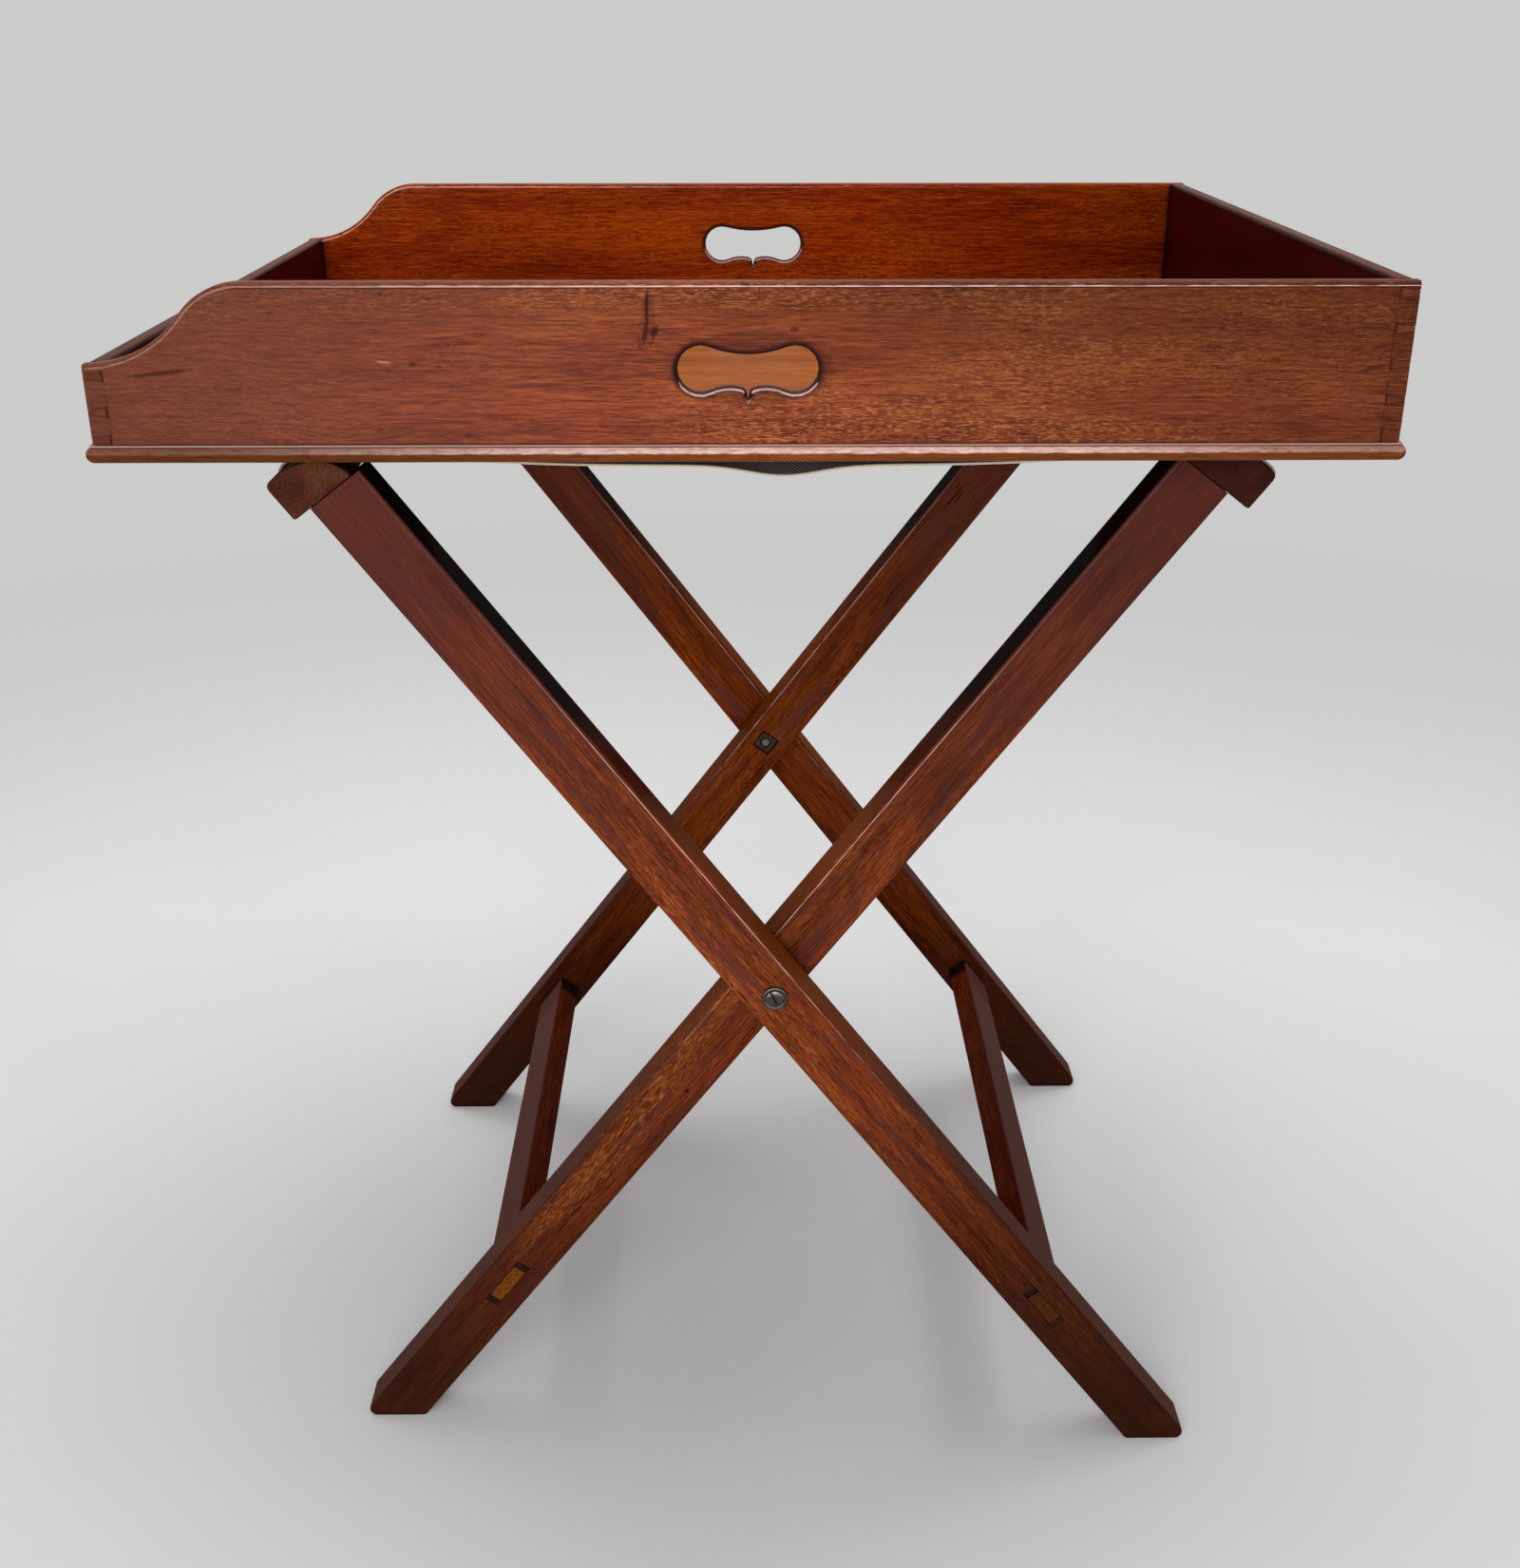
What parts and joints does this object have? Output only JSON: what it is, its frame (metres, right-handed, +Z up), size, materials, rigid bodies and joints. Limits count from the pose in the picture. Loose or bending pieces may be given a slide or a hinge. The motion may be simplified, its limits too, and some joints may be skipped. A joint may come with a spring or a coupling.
{
  "type": "butler tray",
  "caption": "Wooden serving tray with one low end, ogee sides and hand holes, on a folding X stand with webbing straps.",
  "frame": {"origin": "on the floor, under the middle of the tray", "axes": "+Z up, +X along the tray towards its high end, -Y towards the viewer of the picture"},
  "size_m": [0.749, 0.593, 0.8357],
  "materials": {
    "tray_wood": "red-brown mahogany, horizontal streaky grain with golden flecks, worn satin polish",
    "tray_bottom_wood": "brighter orange-brown mahogany, satin polish",
    "stand_wood": "red-brown mahogany along the leg, satin polish, darker at the joints",
    "rail_wood": "dark mahogany, satin polish",
    "wedge_wood": "dark end grain",
    "steel": "dark bronzed steel, worn at the head",
    "webbing": "black and white twill webbing with cream selvedges"
  },
  "bodies": {
    "outer_frame": {"front_outer_leg": "stand_wood", "back_outer_leg": "stand_wood", "outer_rail": "rail_wood", "outer_stretcher": "stand_wood", "front_outer_upper_wedge": "wedge_wood", "front_outer_lower_wedge": "wedge_wood", "back_outer_upper_wedge": "wedge_wood", "back_outer_lower_wedge": "wedge_wood", "front_strap": "webbing", "middle_strap": "webbing", "back_strap": "webbing"},
    "inner_frame": {"front_inner_leg": "stand_wood", "back_inner_leg": "stand_wood", "inner_rail": "rail_wood", "inner_stretcher": "stand_wood", "front_inner_upper_wedge": "wedge_wood", "front_inner_lower_wedge": "wedge_wood", "back_inner_upper_wedge": "wedge_wood", "back_inner_lower_wedge": "wedge_wood", "front_pivot_bolt": "steel", "back_pivot_bolt": "steel", "front_pivot_washer": "steel", "back_pivot_washer": "steel", "front_pivot_nut": "steel", "back_pivot_nut": "steel"},
    "tray": {"tray_front_side": "tray_wood", "tray_back_side": "tray_wood", "tray_high_end": "tray_wood", "tray_low_end": "tray_wood", "tray_bottom": "tray_bottom_wood"}
  },
  "joints": [
    {"name": "stand_fold", "type": "hinge", "parent": "outer_frame", "child": "inner_frame", "pos_m": [0.0165, -0.0304, 0.3778], "axis": [0, -1, 0], "range_deg": [0, 67], "deforming": ["front_strap", "middle_strap", "back_strap"]},
    {"name": "tray_lift", "type": "slide", "parent": "outer_frame", "child": "tray", "axis": [0, 0, 1], "range_m": [0, 0.38]}
  ],
  "couplings": [
    {"joint": "tray_lift", "follows": "stand_fold", "m_per_rad": 0.32}
  ]
}
